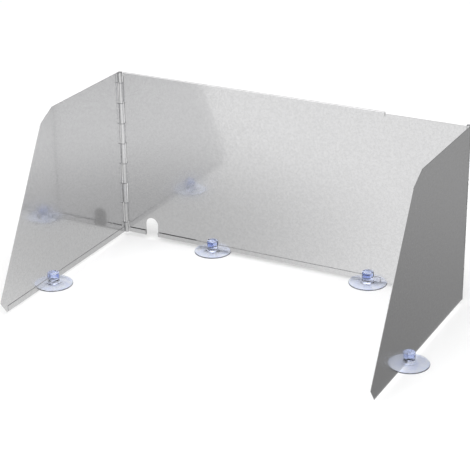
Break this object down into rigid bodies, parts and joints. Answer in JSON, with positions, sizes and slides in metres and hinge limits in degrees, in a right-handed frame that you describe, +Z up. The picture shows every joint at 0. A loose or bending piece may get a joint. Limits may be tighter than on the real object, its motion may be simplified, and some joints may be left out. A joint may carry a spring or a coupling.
{
  "type": "folding stove splash and wind shield",
  "caption": "Folding sheet-metal stove shield: telescoping back with a hose notch, hinged side wings with sloping fronts, and clear suction cups along the bottom.",
  "frame": {"origin": "on the ground, under the centre of the whole box", "axes": "+X along the back to the right seen from the open front, -Y towards the open front, +Z up"},
  "size_m": [0.5654, 0.3356, 0.2455],
  "materials": {
    "galvanised_sheet": "smooth bright sheet, nearly a mirror, with a fine speckle",
    "hinge_pin_steel": "drawn wire, bright",
    "clear_vinyl": "clear soft vinyl with a pale blue tint"
  },
  "bodies": {
    "outer_leaf": {"outer_back_leaf": "galvanised_sheet", "left_hinge_pin": "hinge_pin_steel"},
    "inner_leaf": {"inner_back_leaf": "galvanised_sheet", "right_hinge_pin": "hinge_pin_steel"},
    "left_side": {"left_wing": "galvanised_sheet"},
    "right_side": {"right_wing": "galvanised_sheet"},
    "back_left_cup": {"back_left_suction_cup": "clear_vinyl"},
    "back_right_cup": {"back_right_suction_cup": "clear_vinyl"},
    "left_wing_cup": {"left_wing_suction_cup": "clear_vinyl"},
    "right_wing_cup": {"right_wing_suction_cup": "clear_vinyl"}
  },
  "joints": [
    {"name": "back_slide", "type": "slide", "parent": "outer_leaf", "child": "inner_leaf", "axis": [1, 0, 0], "range_m": [-0.104, 0.235]},
    {"name": "left_wing_hinge", "type": "hinge", "parent": "outer_leaf", "child": "left_side", "pos_m": [-0.2543, 0.14007, 0], "axis": [0, 0, 1], "range_deg": [-170, 80]},
    {"name": "right_wing_hinge", "type": "hinge", "parent": "inner_leaf", "child": "right_side", "pos_m": [0.2543, 0.13917, 0], "axis": [0, 0, -1], "range_deg": [-170, 57]},
    {"name": "back_left_cup_slide", "type": "slide", "parent": "outer_leaf", "child": "back_left_cup", "axis": [1, 0, 0], "range_m": [-0.075, 0]},
    {"name": "back_right_cup_slide", "type": "slide", "parent": "outer_leaf", "child": "back_right_cup", "axis": [1, 0, 0], "range_m": [-0.06, 0.008]},
    {"name": "left_wing_cup_slide", "type": "slide", "parent": "left_side", "child": "left_wing_cup", "axis": [0, -1, 0], "range_m": [0, 0.08]},
    {"name": "right_wing_cup_slide", "type": "slide", "parent": "right_side", "child": "right_wing_cup", "axis": [0, -1, 0], "range_m": [0, 0.08]}
  ]
}
